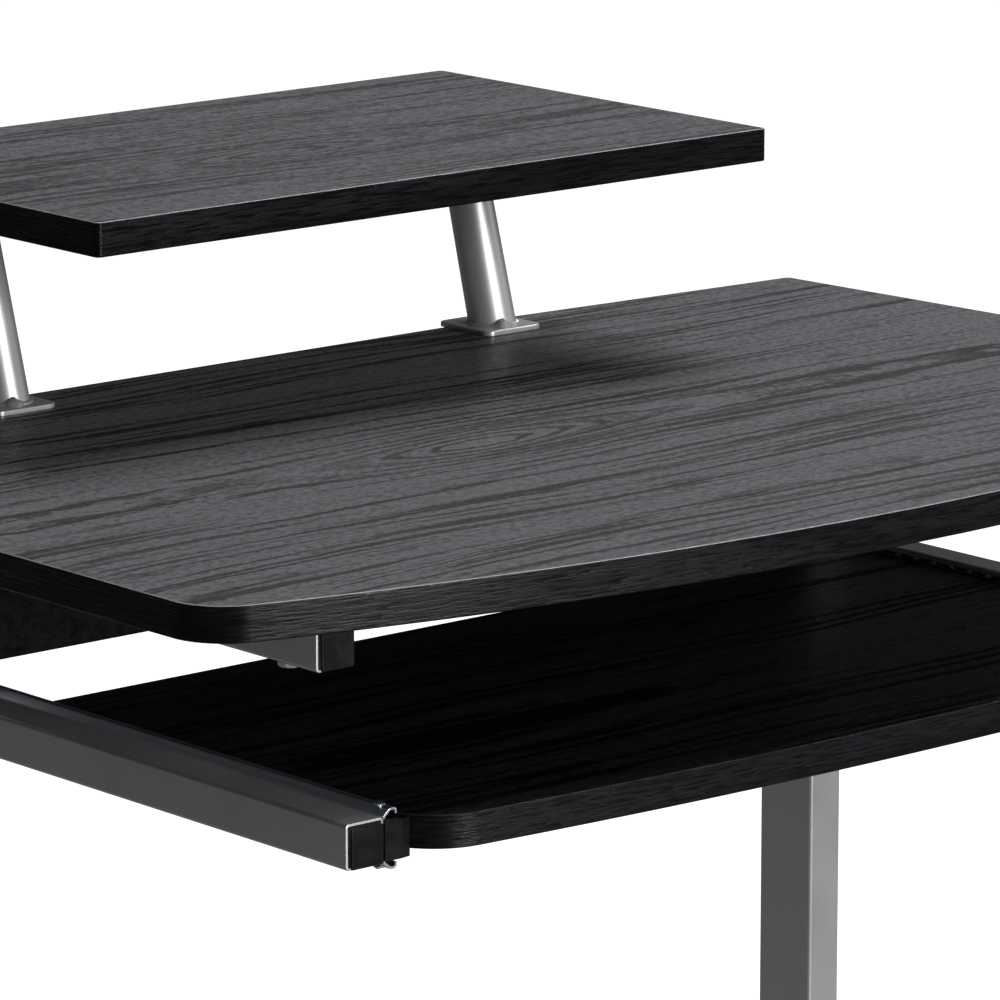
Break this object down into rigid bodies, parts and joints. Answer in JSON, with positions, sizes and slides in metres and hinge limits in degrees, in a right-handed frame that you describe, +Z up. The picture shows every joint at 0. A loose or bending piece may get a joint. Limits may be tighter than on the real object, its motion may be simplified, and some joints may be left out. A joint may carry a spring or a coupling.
{
  "type": "computer desk",
  "caption": "Small computer desk: bowed wood-grain top, raised monitor shelf on two leaning posts, keyboard tray on ball-bearing slides, steel frame with two legs on long feet.",
  "frame": {"origin": "on the floor, under the middle of the desk's outline", "axes": "+Z up, -Y towards the sitter, +X to the sitter's right"},
  "size_m": [0.754, 0.579, 0.8703],
  "materials": {
    "laminate": "black oak laminate, satin",
    "edge_band": "black, satin",
    "silver_paint": "satin silver",
    "black_plastic": "fine matt",
    "zinc": "bright zinc plate"
  },
  "bodies": {
    "frame": {"desktop_board": "laminate", "monitor_shelf_board": "laminate", "apron_panel": "laminate", "desktop_edge_band": "edge_band", "monitor_shelf_edge_band": "edge_band", "crossbar_tube": "silver_paint", "leg_tube_left": "silver_paint", "upper_arm_tube_left": "silver_paint", "lower_arm_tube_left": "silver_paint", "foot_tube_left": "silver_paint", "post_left": "silver_paint", "post_base_plate_left": "silver_paint", "post_top_plate_left": "silver_paint", "leg_tube_right": "silver_paint", "upper_arm_tube_right": "silver_paint", "lower_arm_tube_right": "silver_paint", "foot_tube_right": "silver_paint", "post_right": "silver_paint", "post_base_plate_right": "silver_paint", "post_top_plate_right": "silver_paint", "upper_arm_cap_front_left": "black_plastic", "upper_arm_cap_back_left": "black_plastic", "lower_arm_cap_left": "black_plastic", "foot_cap_front_left": "black_plastic", "foot_cap_back_left": "black_plastic", "glide_front_left": "black_plastic", "glide_back_left": "black_plastic", "upper_arm_cap_front_right": "black_plastic", "upper_arm_cap_back_right": "black_plastic", "lower_arm_cap_right": "black_plastic", "foot_cap_front_right": "black_plastic", "foot_cap_back_right": "black_plastic", "glide_front_right": "black_plastic", "glide_back_right": "black_plastic", "desktop_bolt_front_left": "zinc", "desktop_bolt_back_left": "zinc", "apron_bolt_left": "zinc", "slide_outer_left": "zinc", "shelf_screw_front_left": "zinc", "shelf_screw_back_left": "zinc", "desktop_bolt_front_right": "zinc", "desktop_bolt_back_right": "zinc", "apron_bolt_right": "zinc", "slide_outer_right": "zinc", "shelf_screw_front_right": "zinc", "shelf_screw_back_right": "zinc"},
    "tray": {"keyboard_tray_board": "laminate", "keyboard_tray_edge_band": "edge_band", "slide_inner_left": "zinc", "slide_bumper_left": "black_plastic", "tray_screw_front_left": "zinc", "tray_screw_back_left": "zinc", "slide_inner_right": "zinc", "slide_bumper_right": "black_plastic", "tray_screw_front_right": "zinc", "tray_screw_back_right": "zinc"},
    "ball_retainer_left": {"slide_ball_retainer_left": "zinc"},
    "ball_retainer_right": {"slide_ball_retainer_right": "zinc"}
  },
  "joints": [
    {"name": "tray_slide", "type": "slide", "parent": "frame", "child": "tray", "axis": [0, -1, 0], "range_m": [0, 0.225]},
    {"name": "ball_retainer_left_slide", "type": "slide", "parent": "frame", "child": "ball_retainer_left", "axis": [0, -1, 0], "range_m": [0, 0.1125]},
    {"name": "ball_retainer_right_slide", "type": "slide", "parent": "frame", "child": "ball_retainer_right", "axis": [0, -1, 0], "range_m": [0, 0.1125]}
  ],
  "couplings": [
    {"joint": "ball_retainer_left_slide", "follows": "tray_slide", "ratio": 0.5},
    {"joint": "ball_retainer_right_slide", "follows": "tray_slide", "ratio": 0.5}
  ]
}
